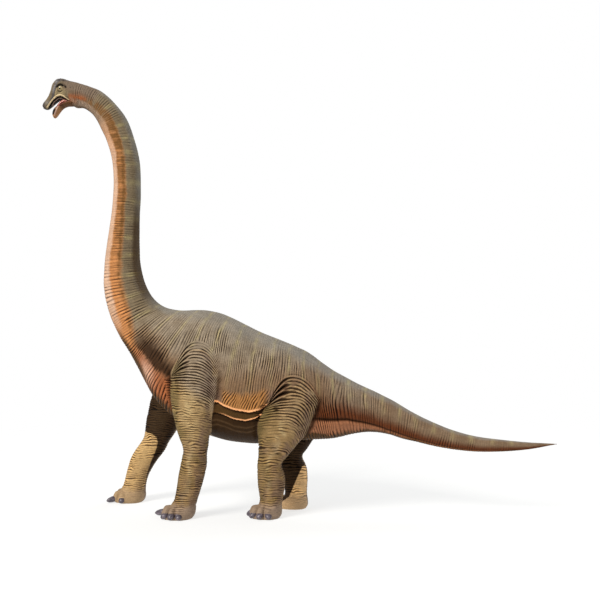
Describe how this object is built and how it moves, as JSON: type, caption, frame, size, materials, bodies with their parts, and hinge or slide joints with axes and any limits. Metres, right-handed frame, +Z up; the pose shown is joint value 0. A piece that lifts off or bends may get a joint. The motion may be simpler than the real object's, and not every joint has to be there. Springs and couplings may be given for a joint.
{
  "type": "brachiosaurus display model",
  "caption": "Life-size still model of a long-necked sauropod: small domed head with open mouth, raised neck, deep trunk, pillar legs in a stride and tapering tail.",
  "frame": {"origin": "middle of the plan outline, on the floor that the four soles stand on", "axes": "+X towards the tail, +Y towards the animal's right side, +Z up; the head looks towards -X"},
  "size_m": [15.31, 3.28, 13],
  "materials": {
    "head_skin": "matte painted hide, green-grey and ochre",
    "hide_neck": "matte painted hide, rust orange with pale cross rings",
    "hide_body": "matte painted hide, olive grey-brown with pale cross bands",
    "hide_legs": "matte painted hide, khaki with dark folds",
    "mouth": "wet-looking gloss, pink",
    "eye": "polished, yellow-green with a dark pupil",
    "claw": "satin horn, dark purple-grey"
  },
  "bodies": {
    "root": {"head": "head_skin", "lower_jaw": "head_skin", "tongue": "mouth", "eye_left": "eye", "eye_right": "eye", "neck_1": "hide_neck", "neck_2": "hide_neck", "neck_3": "hide_neck", "neck_4": "hide_neck", "neck_5": "hide_neck", "chest": "hide_body", "belly": "hide_body", "hips": "hide_body", "tail_1": "hide_body", "tail_2": "hide_body", "tail_3": "hide_body", "tail_4": "hide_body", "leg_front_left_upper": "hide_legs", "leg_front_left_lower": "hide_legs", "foot_front_left": "hide_legs", "leg_front_right_upper": "hide_legs", "leg_front_right_lower": "hide_legs", "foot_front_right": "hide_legs", "leg_hind_left_upper": "hide_legs", "leg_hind_left_lower": "hide_legs", "foot_hind_left": "hide_legs", "leg_hind_right_upper": "hide_legs", "leg_hind_right_lower": "hide_legs", "foot_hind_right": "hide_legs", "claw_front_left_1": "claw", "claw_front_left_2": "claw", "claw_front_left_3": "claw", "claw_front_left_4": "claw", "claw_front_left_5": "claw", "claw_front_right_1": "claw", "claw_front_right_2": "claw", "claw_front_right_3": "claw", "claw_front_right_4": "claw", "claw_front_right_5": "claw", "claw_hind_left_1": "claw", "claw_hind_left_2": "claw", "claw_hind_left_3": "claw", "claw_hind_left_4": "claw", "claw_hind_right_1": "claw", "claw_hind_right_2": "claw", "claw_hind_right_3": "claw", "claw_hind_right_4": "claw"}
  },
  "joints": []
}
